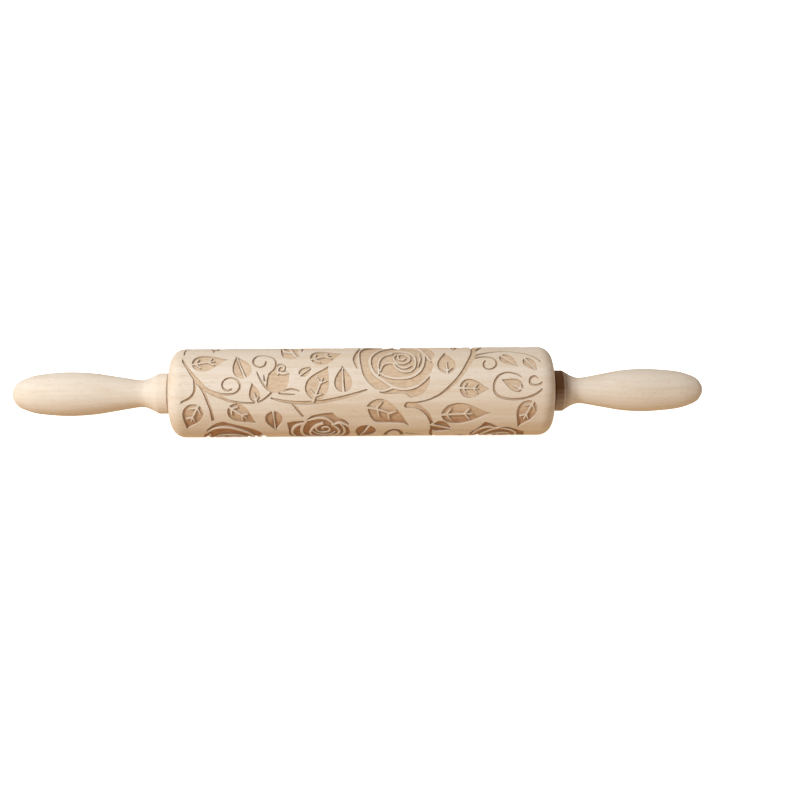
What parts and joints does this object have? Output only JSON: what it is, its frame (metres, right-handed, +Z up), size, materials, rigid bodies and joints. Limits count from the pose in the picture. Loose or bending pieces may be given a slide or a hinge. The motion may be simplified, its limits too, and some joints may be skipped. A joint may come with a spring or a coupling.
{
  "type": "embossing rolling pin",
  "caption": "Engraved wooden rolling pin whose barrel turns freely on a steel rod between two turned wooden handles.",
  "frame": {"origin": "on the pin's axis, midway between the two handle tips", "axes": "+X along the axis towards the right handle, +Z up, +Y away from the user"},
  "size_m": [0.35, 0.045, 0.045],
  "materials": {
    "barrel_wood": "sanded unfinished beech, laser engraved",
    "handle_wood": "sanded unfinished beech",
    "steel": "ground",
    "brass": "machined",
    "nylon": "moulded"
  },
  "bodies": {
    "handle_set": {"axle_rod": "steel", "left_thrust_washer": "nylon", "right_thrust_washer": "nylon", "left_jam_nut": "steel", "right_jam_nut": "steel", "left_threaded_insert": "brass", "right_threaded_insert": "brass", "left_handle": "handle_wood", "right_handle": "handle_wood"},
    "roller": {"barrel": "barrel_wood", "left_bushing": "nylon", "right_bushing": "nylon"}
  },
  "joints": [
    {"name": "barrel_spin", "type": "hinge", "parent": "handle_set", "child": "roller", "pos_m": [0, 0, 0], "axis": [1, 0, 0], "continuous": true}
  ]
}
